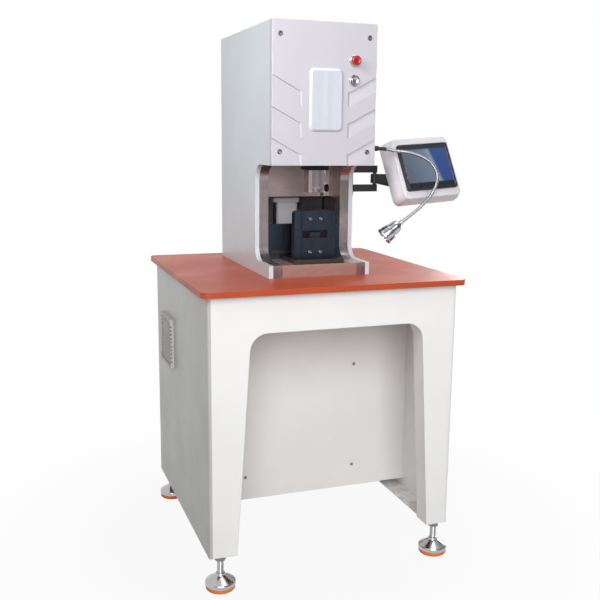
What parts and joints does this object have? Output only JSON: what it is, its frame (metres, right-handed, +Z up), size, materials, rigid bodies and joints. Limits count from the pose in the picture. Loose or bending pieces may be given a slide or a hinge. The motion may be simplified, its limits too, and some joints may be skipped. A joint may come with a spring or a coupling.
{
  "type": "terminal crimping press on bench",
  "caption": "Servo-driven terminal crimping press: C-shaped head with vertical ram and bolster, touch screen and gooseneck lamp, on a sheet-metal bench with levelling feet.",
  "frame": {"origin": "on the floor, at the centre of the rectangle of the four levelling feet", "axes": "+Z up; the front with the ram, the tool space and the knee opening faces -Y; +X to the right seen from the front, on the touch screen's side"},
  "size_m": [0.7917, 0.698, 1.445],
  "materials": {
    "orange_paint": "orange-red satin paint",
    "bench_paint": "white satin powder coat",
    "head_paint": "light grey satin paint",
    "front_paint": "silver grey paint with a faint lilac tone",
    "badge_metal": "satin metal with bright bevels",
    "ground_steel": "ground steel, warm grey",
    "zinc_plate": "zinc-plated sheet",
    "black_steel": "blackened tool steel",
    "black_paint": "black satin paint",
    "bright_steel": "bright turned steel",
    "chrome_metal": "polished chrome",
    "foot_rubber": "orange rubber",
    "belt_rubber": "black toothed belt",
    "black_plastic": "black matt plastic",
    "grey_plastic": "light grey plastic",
    "white_plastic": "white semi-gloss plastic",
    "red_plastic": "glossy red plastic",
    "lens_glass": "clear lamp lens",
    "motor_paint": "black enamel"
  },
  "bodies": {
    "frame": {"tabletop": "orange_paint", "bench_front": "bench_paint", "bench_side_left": "bench_paint", "bench_side_right": "bench_paint", "bench_rear": "bench_paint", "cabinet_tray": "bench_paint", "mounting_plate": "zinc_plate", "power_supply": "zinc_plate", "power_entry": "black_plastic", "louvre_cover": "head_paint", "fan_frame": "black_plastic", "lock_nuts": "zinc_plate", "screws": "zinc_plate", "side_cover_left": "head_paint", "side_cover_right": "head_paint", "side_frame_left": "ground_steel", "side_frame_right": "ground_steel", "front_cover": "front_paint", "badge_plate": "badge_metal", "top_cover": "head_paint", "rear_cover": "head_paint", "base_plate": "ground_steel", "back_plate": "ground_steel", "ram_guide": "black_steel", "drive_plate": "ground_steel", "throat_plate": "black_steel", "bolster": "ground_steel", "tool_holder": "black_steel", "screw_bearing": "bright_steel", "timing_belt": "belt_rubber", "servo_motor": "motor_paint", "pilot_lamp": "red_plastic", "panel_bezels": "chrome_metal", "control_box": "grey_plastic", "servo_drive": "black_plastic", "screen_bracket": "black_paint", "lamp_post": "black_paint"},
    "screw": {"ball_screw": "bright_steel", "screw_pulley": "bright_steel"},
    "slide": {"ram": "ground_steel", "ram_screws": "black_steel", "ball_nut": "bright_steel"},
    "motor_shaft": {"motor_pulley": "bright_steel"},
    "button": {"start_button": "grey_plastic"},
    "swivel_arm": {"screen_arm": "black_paint"},
    "screen": {"screen_housing": "white_plastic", "screen_panel": "black_plastic"},
    "lamp": {"gooseneck": "chrome_metal", "lamp_head": "chrome_metal", "lamp_lens": "lens_glass"},
    "switch": {"switch_knob": "red_plastic"},
    "fan": {"fan_rotor": "black_plastic"},
    "leveller_front_left": {"foot_front_left": "chrome_metal", "pad_front_left": "foot_rubber"},
    "leveller_front_right": {"foot_front_right": "chrome_metal", "pad_front_right": "foot_rubber"},
    "leveller_rear_left": {"foot_rear_left": "chrome_metal", "pad_rear_left": "foot_rubber"},
    "leveller_rear_right": {"foot_rear_right": "chrome_metal", "pad_rear_right": "foot_rubber"}
  },
  "joints": [
    {"name": "screw_spin", "type": "hinge", "parent": "frame", "child": "screw", "pos_m": [0, -0.142, 1.2], "axis": [0, 0, 1], "range_deg": [0, 1440]},
    {"name": "ram_slide", "type": "slide", "parent": "frame", "child": "slide", "axis": [0, 0, 1], "range_m": [-0.04, 0]},
    {"name": "motor_spin", "type": "hinge", "parent": "frame", "child": "motor_shaft", "pos_m": [0, 0.09, 1.28], "axis": [0, 0, 1], "range_deg": [0, 1440]},
    {"name": "button_press", "type": "slide", "parent": "frame", "child": "button", "axis": [0, 1, 0], "range_m": [0, 0.004], "stiffness_N_per_m": 500, "springref_m": -0.003},
    {"name": "screen_swivel", "type": "hinge", "parent": "frame", "child": "swivel_arm", "pos_m": [0.2285, -0.03, 1.043], "axis": [0, 0, 1], "range_deg": [0, 40]},
    {"name": "screen_tilt", "type": "hinge", "parent": "swivel_arm", "child": "screen", "pos_m": [0.24203, -0.12223, 1.04925], "axis": [0.9931, 0.099, 0.0632], "range_deg": [-20, 0]},
    {"name": "lamp_swing", "type": "hinge", "parent": "frame", "child": "lamp", "pos_m": [0.17, -0.172, 1.13], "axis": [1, 0, 0], "range_deg": [-45, 0]},
    {"name": "main_switch", "type": "hinge", "parent": "frame", "child": "switch", "pos_m": [-0.22, 0.329, 0.338], "axis": [0, 1, 0], "range_deg": [0, 90]},
    {"name": "fan_spin", "type": "hinge", "parent": "frame", "child": "fan", "pos_m": [-0.33, 0.156, 0.563], "axis": [1, 0, 0], "continuous": true},
    {"name": "leveller_front_left", "type": "slide", "parent": "frame", "child": "leveller_front_left", "axis": [0, 0, 1], "range_m": [-0.02, 0.01]},
    {"name": "leveller_front_right", "type": "slide", "parent": "frame", "child": "leveller_front_right", "axis": [0, 0, 1], "range_m": [-0.02, 0.01]},
    {"name": "leveller_rear_left", "type": "slide", "parent": "frame", "child": "leveller_rear_left", "axis": [0, 0, 1], "range_m": [-0.02, 0.01]},
    {"name": "leveller_rear_right", "type": "slide", "parent": "frame", "child": "leveller_rear_right", "axis": [0, 0, 1], "range_m": [-0.02, 0.01]}
  ],
  "couplings": [
    {"joint": "screw_spin", "follows": "ram_slide", "rad_per_m": -628.32},
    {"joint": "motor_spin", "follows": "ram_slide", "rad_per_m": -628.32}
  ]
}
